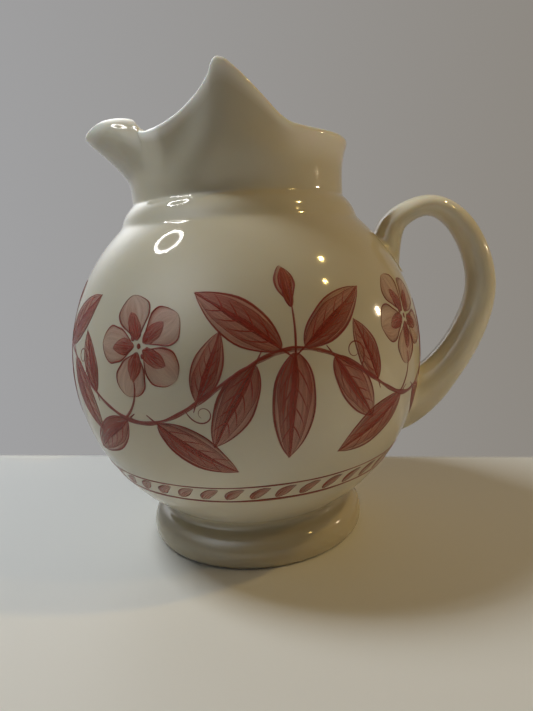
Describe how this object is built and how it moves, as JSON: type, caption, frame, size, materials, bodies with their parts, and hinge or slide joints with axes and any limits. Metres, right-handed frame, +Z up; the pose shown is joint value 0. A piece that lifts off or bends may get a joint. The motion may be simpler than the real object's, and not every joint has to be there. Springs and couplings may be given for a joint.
{
  "type": "glass pitcher",
  "caption": "Globe-shaped milk glass pitcher with a tooled eared rim, a broad pouring spout, an applied loop handle and foot, and a painted red enamel band.",
  "frame": {"origin": "middle of the foot's flat resting face, on the axis of the globe", "axes": "+Z up, -X towards the spout, +X towards the handle"},
  "size_m": [0.1893, 0.1518, 0.1897],
  "materials": {
    "milk_glass": "fire-polished opal glass, glossy",
    "red_enamel": "fired enamel washes and brush strokes"
  },
  "bodies": {
    "root": {"blown_body": "milk_glass", "foot": "milk_glass", "handle": "milk_glass"}
  },
  "joints": []
}
